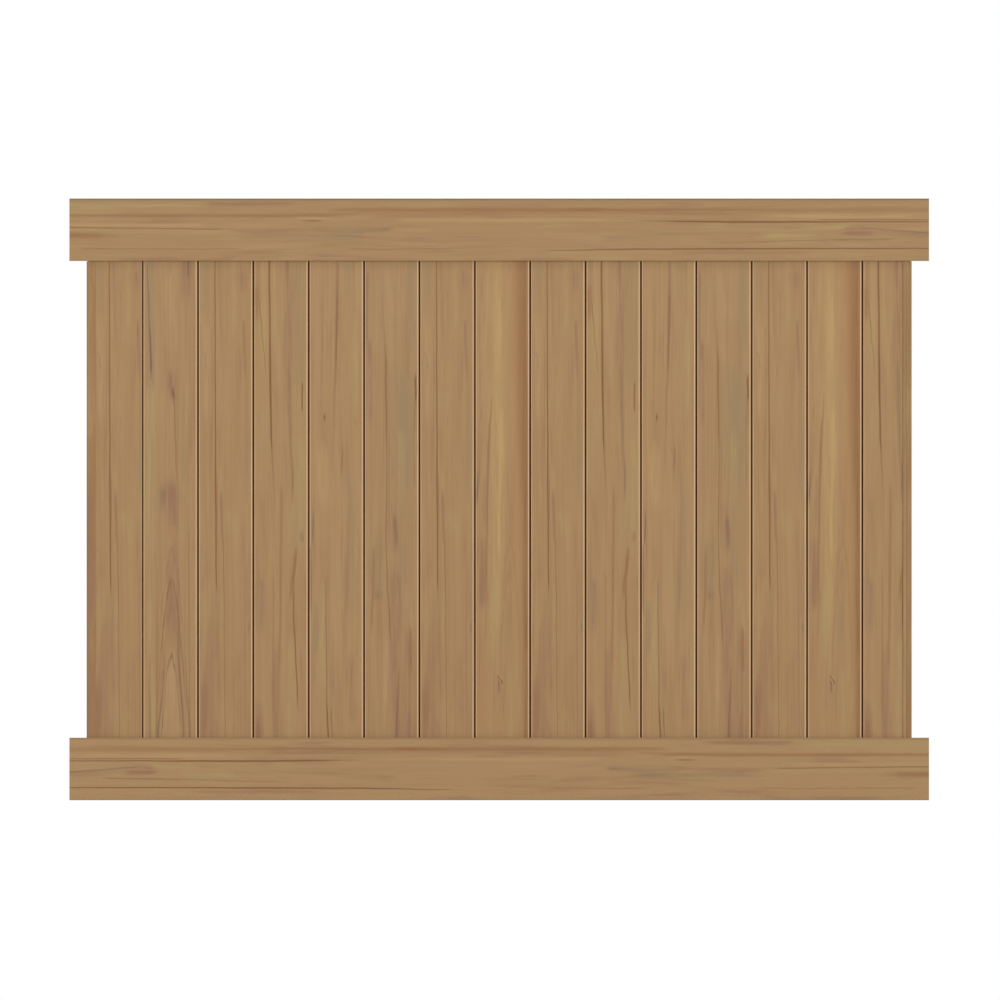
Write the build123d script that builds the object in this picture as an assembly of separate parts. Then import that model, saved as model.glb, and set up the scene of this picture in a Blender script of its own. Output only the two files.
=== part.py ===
from build123d import *
import os

# A privacy fence panel of extruded vinyl, printed to look like cypress boards. Fifteen hollow
# tongue-and-groove boards stand in the pockets of a top rail and a bottom rail. A U-shaped
# channel closes each end of the row of boards, and a galvanised channel stiffens the bottom rail.
# The rails run on past the boards at both ends, and those bare ends go into routed fence posts.
#
# Frame: X along the rails, Y through the panel with the front at -Y, Z up. The origin is under
# the middle of the panel, on the underside of the bottom rail. Sizes are in millimetres.

# Boards
board_count = 15
board_pitch = 152.4
board_thickness = 22.2
board_wall = 1.4
joint_width = 3.0
joint_bevel = 2.2
tongue_thickness = 8.0
tongue_reach = 10.0
tongue_tip_radius = 1.2
groove_side_clearance = 0.4
groove_end_clearance = 2.0
board_web = 1.1
board_webs = 4
ripped_board_width = 130.2
clear_height = 1312.0
board_expansion = 6.0

# Rails
rail_height = 172.0
rail_depth = 44.5
rail_wall = 2.3
rail_corner_radius = 3.0
rail_cell_radius = 1.2
rail_middle_web_height = 66.0
pocket_depth = 38.0
pocket_wall = 1.8
pocket_mouth_radius = 0.8
pocket_clearance = 0.4
rail_engagement = 47.6

# Drain holes in the bottom rail, one row along its middle
drain_holes = 4
drain_radius = 4.0
drain_end_distance = 150.0

# Stiffener in the lower cell of the bottom rail
stiffener_sheet = 1.4
stiffener_bend_radius = 2.4
stiffener_lip = 9.0
stiffener_clearance = 0.3
stiffener_setback = 12.0

# End channels
channel_wall = 1.8
channel_leg = 24.0
channel_clearance = 0.35
channel_corner_radius = 1.5
channel_tip_radius = 0.6
channel_top_clearance = 0.8
screw_head_space = 1.7
screw_hole_radius = 2.4
screw_holes = 4
screw_end_distance = 60.0

# Sizes that follow from the ones above
board_body = board_pitch - joint_width
tongue_length = joint_width + tongue_reach
groove_width = tongue_thickness + 2 * groove_side_clearance
groove_depth = tongue_reach + groove_end_clearance
board_row = (board_count - 1) * board_pitch + ripped_board_width
channel_span = board_row + 2 * (channel_wall + screw_head_space)
rail_length = channel_span + 2 * rail_engagement
panel_height = clear_height + 2 * rail_height
pocket_width = board_thickness + 2 * pocket_clearance
pocket_floor = rail_height - pocket_depth
board_length = clear_height + 2 * pocket_depth - board_expansion
rail_inside = rail_depth - 2 * rail_wall
lower_cell_height = rail_middle_web_height - rail_wall
channel_slot = board_thickness + 2 * channel_clearance
channel_length = clear_height - channel_top_clearance


def box_between(left, right, bottom, top):
    """A rectangle given by its four sides, in the plane of the sketch."""
    middle = ((left + right) / 2, (bottom + top) / 2)
    return Pos(*middle) * Rectangle(right - left, top - bottom)


def cell_between(left, right, bottom, top, radius):
    """The same, with rounded corners: one hollow of an extrusion."""
    middle = ((left + right) / 2, (bottom + top) / 2)
    return Pos(*middle) * RectangleRounded(right - left, top - bottom, radius)


def corners_at(sketch, points):
    """The corners of a sketch that lie at the given points."""
    return [sketch.vertices().sort_by_distance(Vector(*point))[0] for point in points]


def board_outline():
    """The outside of a full board: groove at x = 0, tongue past x = board_body."""
    half = board_thickness / 2
    groove = groove_width / 2
    tongue = tongue_thickness / 2
    tip = board_body + tongue_length
    upper = [
        (groove_depth, groove),
        (0, groove),
        (0, half - joint_bevel),
        (joint_bevel, half),
        (board_body - joint_bevel, half),
        (board_body, half - joint_bevel),
        (board_body, tongue),
        (tip, tongue),
    ]
    lower = [(x, -y) for x, y in reversed(upper)]
    outline = make_face(Polyline(*upper, *lower, close=True))
    return fillet(corners_at(outline, [(tip, tongue), (tip, -tongue)]), tongue_tip_radius)


def board_hollows():
    """The cells inside a full board, between its skins and its cross webs."""
    hollow = offset(board_outline(), amount=-board_wall, kind=Kind.INTERSECTION)
    half = board_thickness / 2
    first = groove_depth + board_wall
    step = (board_body - board_wall - first) / (board_webs + 1)
    for number in range(1, board_webs + 1):
        middle = first + number * step
        hollow -= box_between(middle - board_web / 2, middle + board_web / 2, -half, half)
    hollow -= box_between(board_body - board_wall, board_body, -half, half)
    return hollow


def board_section(width=None):
    """A board's section. With a width, the board is ripped to it, which takes its tongue off."""
    section = board_outline() - board_hollows()
    if width is not None:
        section &= box_between(0, width, -board_thickness, board_thickness)
    return section


def board_row_parts():
    """The boards by name, counted from the left. The last is ripped to fill the row."""
    full = extrude(board_section(), board_length)
    ripped = extrude(board_section(ripped_board_width), board_length)
    row = {}
    for number in range(1, board_count + 1):
        left = -board_row / 2 + (number - 1) * board_pitch
        kind = ripped if number == board_count else full
        row[f"board_{number:02d}"] = Pos(left, 0, pocket_floor) * kind
    return row


def rail_section():
    """A rail's section, with the pocket's mouth at the top and y = 0 at its closed edge."""
    inside = rail_inside / 2
    pocket = pocket_width / 2
    side_cell = pocket + pocket_wall
    web_top = rail_middle_web_height + pocket_wall
    section = cell_between(-rail_depth / 2, rail_depth / 2, 0, rail_height, rail_corner_radius)
    section -= cell_between(-inside, inside, rail_wall, rail_middle_web_height, rail_cell_radius)
    section -= cell_between(-inside, inside, web_top, pocket_floor - pocket_wall, rail_cell_radius)
    for side in (-1, 1):
        edges = sorted((side * side_cell, side * inside))
        section -= cell_between(*edges, pocket_floor, rail_height - rail_wall, rail_cell_radius)
    section -= box_between(-pocket, pocket, pocket_floor, rail_height)
    mouth = corners_at(section, [(-pocket, rail_height), (pocket, rail_height)])
    return fillet(mouth, pocket_mouth_radius)


def along_x(section, length):
    """A section drawn with y across the panel and z up, extruded to both sides of x = 0."""
    return extrude(Plane.YZ * section, length / 2, both=True)


def drain_drills(bottom, top):
    """Upright drills for the drain holes, from one height to another."""
    spacing = (rail_length - 2 * drain_end_distance) / (drain_holes - 1)
    drill = Cylinder(drain_radius, top - bottom, align=(Align.CENTER, Align.CENTER, Align.MIN))
    return Pos(0, 0, bottom) * GridLocations(spacing, 1, drain_holes, 1) * drill


def bottom_rail():
    """Pocket up, with drain holes through the pocket floor, the middle web and the underside."""
    return along_x(rail_section(), rail_length) - drain_drills(-rail_wall, pocket_floor + pocket_wall)


def top_rail():
    """The same extrusion, turned over and with no holes."""
    return Pos(0, 0, panel_height) * Rot(180, 0, 0) * along_x(rail_section(), rail_length)


def rail_stiffener():
    """A lipped steel channel that stands open side down in the bottom rail's lower cell."""
    half = rail_inside / 2 - stiffener_clearance
    height = lower_cell_height - stiffener_clearance
    core = (stiffener_sheet, height - stiffener_sheet)
    sheet_half = half - stiffener_sheet
    inner_radius = stiffener_bend_radius - stiffener_sheet
    slot_half = half - stiffener_lip
    section = cell_between(-half, half, 0, height, stiffener_bend_radius)
    section -= cell_between(-sheet_half, sheet_half, *core, inner_radius)
    section -= box_between(-slot_half, slot_half, 0, stiffener_sheet)
    body = along_x(section, rail_length - 2 * stiffener_setback)
    drills = drain_drills(height - 2 * stiffener_sheet, height + stiffener_sheet)
    return Pos(0, 0, rail_wall) * (body - drills)


def channel_section():
    """An end channel's section: web at x = 0, legs towards +X."""
    slot = channel_slot / 2
    outside = slot + channel_wall
    section = box_between(0, channel_leg, -outside, outside)
    section -= box_between(channel_wall, channel_leg, -slot, slot)
    section = fillet(corners_at(section, [(0, -outside), (0, outside)]), channel_corner_radius)
    tips = [(channel_leg, side * edge) for side in (-1, 1) for edge in (slot, outside)]
    return fillet(corners_at(section, tips), channel_tip_radius)


def end_channel():
    """The left end channel, with screw holes through its web. It stands on the bottom rail."""
    spacing = (channel_length - 2 * screw_end_distance) / (screw_holes - 1)
    drill = Rot(0, 90, 0) * Cylinder(screw_hole_radius, 4 * channel_wall)
    body = extrude(channel_section(), channel_length)
    for number in range(screw_holes):
        body -= Pos(0, 0, screw_end_distance + number * spacing) * drill
    return Pos(-channel_span / 2, 0, rail_height) * body


def panel_parts():
    """Every piece of the panel in its place, by name."""
    left_channel = end_channel()
    return {
        "top_rail": top_rail(),
        "bottom_rail": bottom_rail(),
        "rail_stiffener": rail_stiffener(),
        "left_end_channel": left_channel,
        "right_end_channel": mirror(left_channel, about=Plane.YZ),
        **board_row_parts(),
    }


os.makedirs("parts", exist_ok=True)
for name, shape in panel_parts().items():
    export_step(shape, f"parts/{name}.step")
print(f"panel {rail_length:.1f} x {rail_depth:.1f} x {panel_height:.1f} mm")
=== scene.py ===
from math import radians

import bmesh
import bpy
from mathutils import Matrix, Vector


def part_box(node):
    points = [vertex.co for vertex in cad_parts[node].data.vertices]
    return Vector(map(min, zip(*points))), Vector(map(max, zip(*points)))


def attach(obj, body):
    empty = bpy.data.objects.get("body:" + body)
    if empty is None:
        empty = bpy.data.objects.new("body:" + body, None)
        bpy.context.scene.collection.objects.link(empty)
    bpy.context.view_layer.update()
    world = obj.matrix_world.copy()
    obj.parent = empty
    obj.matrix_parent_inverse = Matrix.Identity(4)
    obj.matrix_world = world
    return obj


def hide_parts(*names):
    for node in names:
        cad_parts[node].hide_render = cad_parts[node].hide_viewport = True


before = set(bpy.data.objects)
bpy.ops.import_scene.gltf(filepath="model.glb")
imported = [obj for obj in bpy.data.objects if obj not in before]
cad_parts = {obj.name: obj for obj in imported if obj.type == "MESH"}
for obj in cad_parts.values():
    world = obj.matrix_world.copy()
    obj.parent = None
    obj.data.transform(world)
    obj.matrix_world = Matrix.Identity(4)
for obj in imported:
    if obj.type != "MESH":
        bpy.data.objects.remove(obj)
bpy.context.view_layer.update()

scene = bpy.context.scene
mm = 0.001

# Vinyl privacy fence panel, printed like cypress boards. Metres, X along the rails, front at -Y.


def findSocket(sockets, wanted):
    if isinstance(wanted, int):
        return sockets[wanted]
    live = [s for s in sockets if s.enabled]
    return live[0] if wanted is None else next(s for s in live if s.name == wanted)


class Wire:
    # one value or colour of a material, so that masks are written as sums
    def __init__(self, tree, socket=None):
        self.tree = tree
        self.socket = socket

    def node(self, kind, settings=None, sockets=None, output=None):
        made = self.tree.nodes.new("ShaderNode" + kind)
        for name, value in (settings or {}).items():
            if name == "stops":
                setStops(made.color_ramp, value)
            elif name == "ease":
                made.color_ramp.interpolation = value
            else:
                setattr(made, name, value)
        for name, value in (sockets or {}).items():
            target = findSocket(made.inputs, name)
            if isinstance(value, Wire):
                self.tree.links.new(value.socket, target)
            else:
                target.default_value = value
        return Wire(self.tree, findSocket(made.outputs, output))

    def part(self, output):
        return Wire(self.tree, findSocket(self.socket.node.outputs, output))

    def maths(self, operation, *values):
        return self.node("Math", {"operation": operation}, dict(enumerate(values)))

    def __add__(self, other):
        return self.maths("ADD", self, other)

    __radd__ = __add__

    def __sub__(self, other):
        return self.maths("SUBTRACT", self, other)

    def __rsub__(self, other):
        return self.maths("SUBTRACT", other, self)

    def __mul__(self, other):
        return self.maths("MULTIPLY", self, other)

    __rmul__ = __mul__

    def __truediv__(self, other):
        return self.maths("DIVIDE", self, other)

    def __rtruediv__(self, other):
        return self.maths("DIVIDE", other, self)

    def __abs__(self):
        return self.maths("ABSOLUTE", self)

    def smooth(self, start, end, low=0.0, high=1.0):
        # a soft step from low at start to high at end
        sockets = {"Value": self, "From Min": start, "From Max": end, "To Min": low, "To Max": high}
        return self.node("MapRange", {"interpolation_type": "SMOOTHSTEP"}, sockets)

    def blend(self, under, over, mask):
        settings = {"data_type": "RGBA", "clamp_factor": True}
        return self.node("Mix", settings, {"Factor": mask, "A": under, "B": over})

    def channels(self):
        # the three patterns that a noise keeps in its colour
        red = self.node("SeparateColor", None, {"Color": self.part("Color")}, "Red")
        return [red, red.part("Green"), red.part("Blue")]


def setStops(ramp, stops):
    while len(ramp.elements) > 1:
        ramp.elements.remove(ramp.elements[-1])
    ramp.elements[0].position = stops[0][0]
    ramp.elements[0].color = stops[0][1]
    for position, colour in stops[1:]:
        ramp.elements.new(position).color = colour


def tone(red, green, blue, sheen=0.0):
    # a colour as a screen shows it, 0 to 255, made linear, less what the surface's sheen adds to it
    shares = [c / 255 for c in (red, green, blue)]
    linear = [c / 12.92 if c <= 0.04045 else ((c + 0.055) / 1.055) ** 2.4 for c in shares]
    return tuple(max(c - sheen, 0.0) for c in linear) + (1.0,)


vinylSheen = 0.019  # linear light that the vinyl's gloss adds to its colour
vinylGloss = 0.3


def vinylTone(colour):
    return tone(*colour, vinylSheen)


def startMaterial(name, **constants):
    material = bpy.data.materials.new(name)
    material.use_nodes = True
    tree = material.node_tree
    shader = tree.nodes["Principled BSDF"]
    for key, value in constants.items():
        shader.inputs[key.replace("_", " ")].default_value = value
    return material, Wire(tree), shader


def plug(shader, name, wire):
    wire.tree.links.new(wire.socket, shader.inputs[name])


def addBump(shader, wire, strength, distance, height):
    sockets = {"Strength": strength, "Distance": distance, "Height": height}
    plug(shader, "Normal", wire.node("Bump", None, sockets, "Normal"))


inks = {
    "umber": (124, 88, 58),
    "redBrown": (147, 107, 75),
    "mauve": (151, 116, 90),
    "slate": (126, 103, 84),
    "greyOlive": (154, 130, 97),
    "olive": (170, 145, 101),
    "honey": (178, 145, 104),
    "golden": (184, 152, 104),
    "orange": (170, 128, 90),
    "pale": (174, 141, 103),
    # edge: the colour of the painted highlights on the boards' rounded edges
    "edge": (222, 188, 148),
}

# Each streak is an ink and a path of (down the board, across it, width, strength), in millimetres.
# Each arch is an ink and (middle across, apex down, drop, half spread, thickness, strength).
boardPrints = {
    "S": {
        "seed": 11.0,
        "fibre": 0.3,
        "base": (166, 132, 94),
        "streaks": [
            ("greyOlive", [(0, 24, 26, 0.5), (90, 24, 26, 0.4), (170, 24, 24, 0)]),
            ("honey", [(110, 26, 24, 0), (200, 26, 24, 0.7), (390, 25, 22, 0.6), (490, 22, 18, 0)]),
            ("mauve", [(10, 118, 22, 0), (45, 118, 26, 0.6), (105, 120, 20, 0)]),
            ("olive", [(660, 90, 26, 0), (715, 90, 30, 0.5), (770, 90, 26, 0)]),
            ("mauve", [(880, 48, 24, 0), (960, 48, 28, 0.5), (1150, 50, 34, 0.5), (1312, 50, 34, 0.3)]),
            ("mauve", [(1110, 20, 24, 0), (1200, 18, 26, 0.65), (1312, 20, 30, 0.65)]),
            ("redBrown", [(1130, 14, 7, 0), (1210, 13, 8, 0.6), (1312, 14, 8, 0.5)]),
            ("mauve", [(150, 124, 6, 0), (180, 125, 7, 0.8), (275, 129, 7, 0.7), (345, 131, 5, 0)]),
            ("greyOlive", [(330, 132, 8, 0), (380, 133, 8, 0.8), (600, 134, 8, 0.7), (700, 134, 6, 0)]),
            ("greyOlive", [(420, 141, 3, 0), (480, 141, 3, 0.8), (1312, 142, 3, 0.8)]),
            ("mauve", [(820, 128, 3, 0), (900, 128, 3, 0.6), (1312, 129, 3, 0.6)]),
            ("slate", [(985, 140, 4, 0), (1006, 140, 5, 0.5), (1040, 140, 4, 0)]),
            ("umber", [(160, 38, 2, 0), (210, 38, 2, 0.3), (500, 39, 2, 0.3), (640, 40, 2, 0)]),
            ("mauve", [(615, 62, 6, 0), (660, 63, 8, 0.9), (745, 66, 6, 0.8), (810, 69, 4, 0)]),
            ("umber", [(735, 69, 2, 0), (790, 70, 2.6, 0.45), (1000, 72, 2.6, 0.45), (1312, 74, 3, 0.4)]),
            ("umber", [
                (0, 46.5, 2.8, 0.75), (250, 47, 2.8, 0.8), (480, 47.6, 3, 0.9), (640, 48.2, 3.4, 1),
                (875, 50, 3, 1), (935, 51, 2, 0),
            ]),
            ("redBrown", [(540, 50.5, 4, 0), (650, 51, 5, 0.8), (760, 52, 4, 0)]),
        ],
        "arches": [
            ("greyOlive", (14, 262, 60, 14, 7, 0.7)),
            ("greyOlive", (12, 500, 50, 13, 6, 0.4)),
            ("greyOlive", (12, 790, 55, 14, 7, 0.7)),
        ],
    },
    "K": {
        "seed": 23.0,
        "fibre": 0.5,
        "base": (165, 132, 96),
        "streaks": [
            ("greyOlive", [(0, 20, 20, 0.8), (330, 22, 18, 0.8), (420, 22, 14, 0)]),
            ("olive", [
                (320, 21, 20, 0), (380, 21, 22, 0.9), (730, 20, 22, 0.9), (850, 20, 18, 0.2),
                (960, 20, 16, 0.5), (1312, 30, 14, 0.5),
            ]),
            ("honey", [(15, 76, 14, 0), (60, 75, 26, 0.4), (200, 76, 28, 0.4), (290, 78, 18, 0)]),
            ("greyOlive", [
                (330, 108, 22, 0), (420, 112, 22, 0.5), (540, 112, 20, 0.4), (640, 112, 18, 0),
            ]),
            ("mauve", [
                (580, 80, 30, 0), (645, 80, 34, 0.9), (715, 82, 30, 0.7), (760, 82, 22, 0.2),
                (860, 80, 28, 0.5), (960, 80, 30, 0.8), (1040, 80, 26, 0.4), (1080, 80, 20, 0),
            ]),
            ("slate", [(600, 56, 12, 0), (640, 56, 14, 0.4), (720, 56, 12, 0)]),
            ("mauve", [(0, 122, 30, 0.8), (70, 121, 30, 0.6), (130, 120, 26, 0)]),
            ("mauve", [(290, 78, 14, 0), (335, 80, 18, 1), (375, 84, 14, 0.9), (410, 88, 8, 0)]),
            ("umber", [
                (335, 82, 4, 0), (366, 84, 6, 0.8), (385, 86, 4, 0.4), (410, 88, 3, 0.5),
                (540, 91, 3, 0.5), (640, 95, 3, 0),
            ]),
            ("slate", [
                (0, 13, 3, 0.2), (25, 13, 3, 0.6), (150, 17, 4, 0.7), (240, 21, 5, 1), (288, 22.5, 6, 1),
                (340, 24, 4, 0),
            ]),
            ("slate", [(0, 125, 5, 0.9), (35, 125, 5, 0.7), (65, 125, 3, 0)]),
            ("pale", [(1060, 78, 14, 0), (1130, 78, 26, 0.9), (1312, 77, 44, 0.9)]),
            ("redBrown", [(850, 40, 4, 0), (950, 40, 5, 0.5), (1312, 38, 5, 0.6)]),
            ("redBrown", [(850, 98, 4, 0), (950, 98, 5, 0.5), (1140, 100, 5, 0.5), (1190, 101, 4, 0)]),
            ("redBrown", [(700, 126, 3, 0), (780, 127, 4, 0.5), (1312, 129, 4, 0.5)]),
            ("slate", [(1060, 19, 3, 0), (1120, 19, 4, 0.4), (1312, 20, 5, 0.5)]),
            ("slate", [(1060, 64, 3, 0), (1140, 58, 4, 0.7), (1312, 42, 5, 0.8)]),
            ("slate", [(960, 94, 3, 0), (1060, 98, 4, 0.7), (1312, 112, 5, 0.8)]),
            ("slate", [(1060, 116, 3, 0), (1160, 120, 4, 0.5), (1312, 130, 5, 0.5)]),
        ],
        "arches": [
            ("orange", (79, 735, 130, 32, 14, 0.6)),
            ("redBrown", (79, 800, 130, 24, 10, 0.5)),
            ("redBrown", (79, 880, 170, 26, 16, 0.85)),
            ("mauve", (79, 950, 170, 24, 14, 0.7)),
            ("orange", (79, 1033, 200, 26, 16, 0.6)),
            ("slate", (79, 1085, 220, 28, 12, 0.6)),
        ],
    },
    "D": {
        "seed": 37.0,
        "fibre": 0.3,
        "base": (167, 134, 96),
        "streaks": [
            ("honey", [(0, 29, 13, 0.7), (200, 29, 13, 0.6), (290, 29, 10, 0)]),
            ("honey", [(0, 58, 10, 0.4), (200, 58, 10, 0.4), (300, 58, 8, 0)]),
            ("redBrown", [(50, 9, 10, 0), (90, 9, 12, 0.6), (140, 10, 10, 0.6), (180, 11, 8, 0)]),
            ("olive", [(90, 18, 14, 0), (160, 22, 16, 0.7), (260, 27, 14, 0.7), (340, 32, 10, 0)]),
            ("mauve", [(0, 94, 14, 0.9), (180, 95, 16, 0.9), (300, 96, 12, 0.6), (390, 97, 8, 0)]),
            ("greyOlive", [
                (0, 127, 30, 0.3), (50, 127, 34, 0.6), (300, 127, 30, 0.5), (390, 127, 26, 0),
            ]),
            ("slate", [
                (280, 97, 10, 0), (350, 98, 12, 0.35), (500, 103, 9, 0.35), (600, 107, 7, 0.4),
                (690, 108, 5, 0),
            ]),
            ("olive", [(430, 131, 22, 0), (540, 131, 26, 0.6), (700, 131, 26, 0.5), (860, 131, 20, 0)]),
            ("slate", [(735, 132, 8, 0), (761, 132, 10, 0.5), (785, 132, 8, 0)]),
            ("redBrown", [
                (590, 77, 7, 0), (650, 77, 7, 0.5), (900, 75, 7, 0.6), (1080, 73, 7, 0.5),
                (1180, 72, 5, 0),
            ]),
            ("redBrown", [(820, 55, 4, 0), (900, 55, 5, 0.4), (1200, 54, 5, 0.4), (1280, 54, 4, 0)]),
            ("slate", [(850, 17, 22, 0), (900, 17, 24, 0.3), (990, 17, 22, 0.3), (1040, 17, 20, 0)]),
            ("orange", [
                (945, 137, 14, 0), (985, 137, 18, 0.6), (1020, 137, 16, 0.5), (1060, 137, 10, 0),
            ]),
            ("mauve", [(1190, 12, 18, 0), (1250, 14, 20, 0.6), (1312, 14, 22, 0.9)]),
            ("redBrown", [(1240, 10, 8, 0), (1290, 12, 10, 0.7), (1312, 12, 10, 0.7)]),
            ("mauve", [(1040, 63, 12, 0), (1100, 63, 14, 0.5), (1250, 63, 14, 0.5), (1312, 63, 12, 0.4)]),
            ("olive", [(1000, 101, 16, 0), (1080, 101, 20, 0.6), (1312, 100, 22, 0.7)]),
            ("umber", [
                (95, 14, 2, 0), (120, 17, 3, 0.5), (190, 23, 3, 0.5), (285, 32, 2.4, 0.4),
                (330, 36, 2, 0),
            ]),
            ("umber", [(325, 134, 2.4, 0), (345, 134, 3.4, 0.9), (400, 134, 3.4, 0.9), (425, 134, 2, 0)]),
            ("umber", [
                (770, 118, 3, 0), (800, 117, 5, 0.4), (880, 110, 5, 0.45), (960, 110, 4, 0.7),
                (1090, 116, 3, 0.8), (1190, 121, 3, 0.8), (1260, 123, 2, 0),
            ]),
            ("redBrown", [(780, 116, 8, 0), (830, 113, 8, 0.8), (900, 104, 8, 0.7), (950, 100, 5, 0)]),
            ("umber", [
                (0, 43.5, 4.2, 0.9), (200, 45, 4.2, 0.9), (340, 46, 4.6, 1), (480, 49, 4.2, 0.9),
                (540, 51, 3.4, 0.5), (600, 54, 4, 0.35), (680, 58, 3, 0),
            ]),
        ],
        "arches": [
            ("slate", (18, 880, 80, 16, 16, 0.15)),
        ],
    },
    "E": {
        "seed": 41.0,
        "fibre": 0.5,
        "base": (169, 136, 98),
        "streaks": [
            ("olive", [(0, 134, 20, 0.4), (80, 134, 20, 0.4), (160, 134, 14, 0)]),
            ("greyOlive", [(0, 105, 18, 0.4), (60, 107, 18, 0.4), (130, 109, 14, 0)]),
            ("olive", [(120, 128, 12, 0), (200, 129, 14, 0.8), (380, 127, 12, 0.8), (450, 125, 10, 0)]),
            ("honey", [(480, 36, 18, 0), (550, 36, 24, 0.9), (640, 36, 22, 0.9), (700, 36, 14, 0)]),
            ("greyOlive", [
                (560, 118, 20, 0), (640, 118, 24, 0.5), (940, 118, 22, 0.5), (1020, 118, 16, 0),
            ]),
            ("mauve", [(640, 110, 6, 0), (720, 110, 7, 0.5), (900, 106, 7, 0.6), (1010, 103, 6, 0)]),
            ("olive", [(880, 38, 16, 0), (960, 37, 18, 1), (1150, 36, 18, 1), (1220, 36, 12, 0)]),
            ("olive", [(800, 80, 18, 0), (860, 82, 20, 0.6), (940, 84, 18, 0.5), (980, 84, 14, 0)]),
            ("greyOlive", [(930, 17, 14, 0), (970, 17, 16, 0.8), (1060, 17, 16, 0.8), (1100, 17, 10, 0)]),
            ("mauve", [
                (1060, 115, 14, 0), (1120, 115, 18, 0.6), (1240, 117, 16, 0.5), (1290, 117, 10, 0),
            ]),
            ("pale", [(930, 75, 16, 0), (990, 76, 18, 0.7), (1080, 76, 18, 0.7), (1150, 76, 14, 0)]),
            ("mauve", [
                (0, 79, 7, 0.8), (88, 78, 8, 1), (280, 74, 7, 0.8), (400, 69, 6, 0.6), (520, 66, 5, 0.4),
                (620, 64, 4, 0),
            ]),
            ("umber", [(60, 78, 3, 0), (120, 77.5, 3.6, 0.5), (260, 75, 3.6, 0.5), (320, 73, 3, 0)]),
            ("umber", [(415, 43, 3, 0), (430, 43, 4, 0.9), (448, 43.5, 3, 0)]),
            ("umber", [(490, 93, 2.6, 0), (530, 92, 3.4, 0.5), (565, 91, 3.4, 0.5), (600, 90, 2, 0)]),
            ("slate", [(680, 11, 3, 0), (710, 12, 4, 0.7), (760, 10, 4, 0.7), (800, 7, 3, 0)]),
            ("umber", [(770, 3, 3, 0), (800, 4, 5, 0.7), (940, 5, 5, 0.6), (990, 6, 3, 0)]),
            ("greyOlive", [(860, 50, 6, 0), (930, 49, 7, 0.6), (1312, 60, 10, 0.5)]),
            ("umber", [
                (850, 46, 2, 0), (900, 46, 2.6, 0.5), (1200, 49, 3, 0.6), (1260, 51, 4, 0.9),
                (1312, 53, 4, 0.9),
            ]),
            ("umber", [(1215, 60, 2, 0), (1250, 62, 3, 0.6), (1312, 64, 3, 0.4)]),
        ],
        "arches": [
            ("orange", (70, 690, 160, 20, 12, 0.4)),
        ],
    },
    "F": {
        "seed": 53.0,
        "fibre": 0.48,
        "base": (164, 131, 96),
        "streaks": [
            ("pale", [(5, 88, 36, 0), (50, 88, 40, 0.5), (130, 88, 38, 0.5), (190, 86, 26, 0)]),
            ("slate", [(10, 7, 6, 0), (50, 7, 8, 0.5), (200, 7, 8, 0.5), (260, 7, 6, 0)]),
            ("olive", [(20, 30, 22, 0), (80, 30, 24, 0.4), (200, 32, 20, 0.4), (280, 32, 16, 0)]),
            ("greyOlive", [(0, 128, 22, 0.7), (200, 128, 24, 0.7), (280, 128, 20, 0)]),
            ("mauve", [(200, 14, 10, 0), (240, 14, 12, 0.7), (420, 15, 12, 0.6), (470, 15, 8, 0)]),
            ("greyOlive", [
                (240, 103, 44, 0), (340, 105, 56, 0.8), (560, 105, 56, 0.8), (700, 106, 40, 0.3),
                (860, 108, 26, 0.6), (950, 108, 20, 0),
            ]),
            ("olive", [(440, 104, 14, 0), (500, 104, 16, 0.6), (620, 105, 16, 0.6), (700, 105, 12, 0)]),
            ("honey", [(1000, 58, 10, 0), (1080, 58, 12, 0.6), (1200, 58, 12, 0.6), (1260, 58, 8, 0)]),
            ("mauve", [(820, 88, 22, 0), (900, 88, 26, 0.8), (1060, 88, 26, 0.7), (1312, 92, 20, 0.7)]),
            ("mauve", [(980, 124, 24, 0), (1080, 124, 26, 0.7), (1312, 124, 26, 0.7)]),
            ("greyOlive", [(720, 36, 20, 0), (800, 36, 24, 0.5), (900, 36, 24, 0.5), (960, 36, 18, 0)]),
            ("slate", [(895, 40, 14, 0), (919, 40, 18, 0.3), (945, 40, 14, 0)]),
            ("redBrown", [
                (770, 25, 5, 0), (820, 25, 6, 0.5), (900, 24, 6, 0.6), (980, 21, 6, 0.6),
                (1050, 18, 5, 0),
            ]),
            ("redBrown", [(990, 126, 5, 0), (1030, 127, 6, 0.7), (1110, 129, 6, 0.7), (1150, 130, 5, 0)]),
            ("redBrown", [
                (360, 139, 3, 0), (400, 139, 4, 0.6), (500, 136, 4, 0.5), (600, 138, 4, 0.5),
                (640, 140, 3, 0),
            ]),
            ("umber", [(300, 141, 3, 0), (330, 141, 5, 0.8), (370, 142, 5, 0.8), (400, 142, 3, 0)]),
            ("slate", [(690, 82, 7, 0), (720, 84, 9, 1), (760, 87, 9, 0.9), (800, 89, 6, 0)]),
            ("mauve", [(640, 80, 14, 0), (700, 82, 16, 0.6), (770, 84, 16, 0.6), (820, 86, 12, 0)]),
            ("umber", [
                (150, 55, 3, 0), (220, 57, 4, 0.3), (290, 59, 5, 0.6), (455, 61, 4.6, 0.6),
                (540, 62, 3, 0.5), (788, 60, 3, 0.5), (875, 63, 3.4, 0.5), (1000, 70, 4, 0.5),
                (1090, 76, 3, 0),
            ]),
            ("mauve", [(440, 68, 3, 0), (500, 68, 3, 0.7), (760, 68, 3, 0.6), (820, 68, 3, 0)]),
            ("umber", [(1080, 97, 3, 0), (1160, 94, 4, 0.4), (1312, 88, 4, 0.5)]),
        ],
    },
    "H": {
        "seed": 67.0,
        "fibre": 0.25,
        "base": (168, 134, 95),
        "streaks": [
            ("honey", [
                (0, 40, 50, 0.35), (250, 45, 56, 0.35), (438, 56, 50, 0.5), (800, 58, 46, 0.4),
                (1312, 60, 30, 0),
            ]),
            ("golden", [
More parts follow.
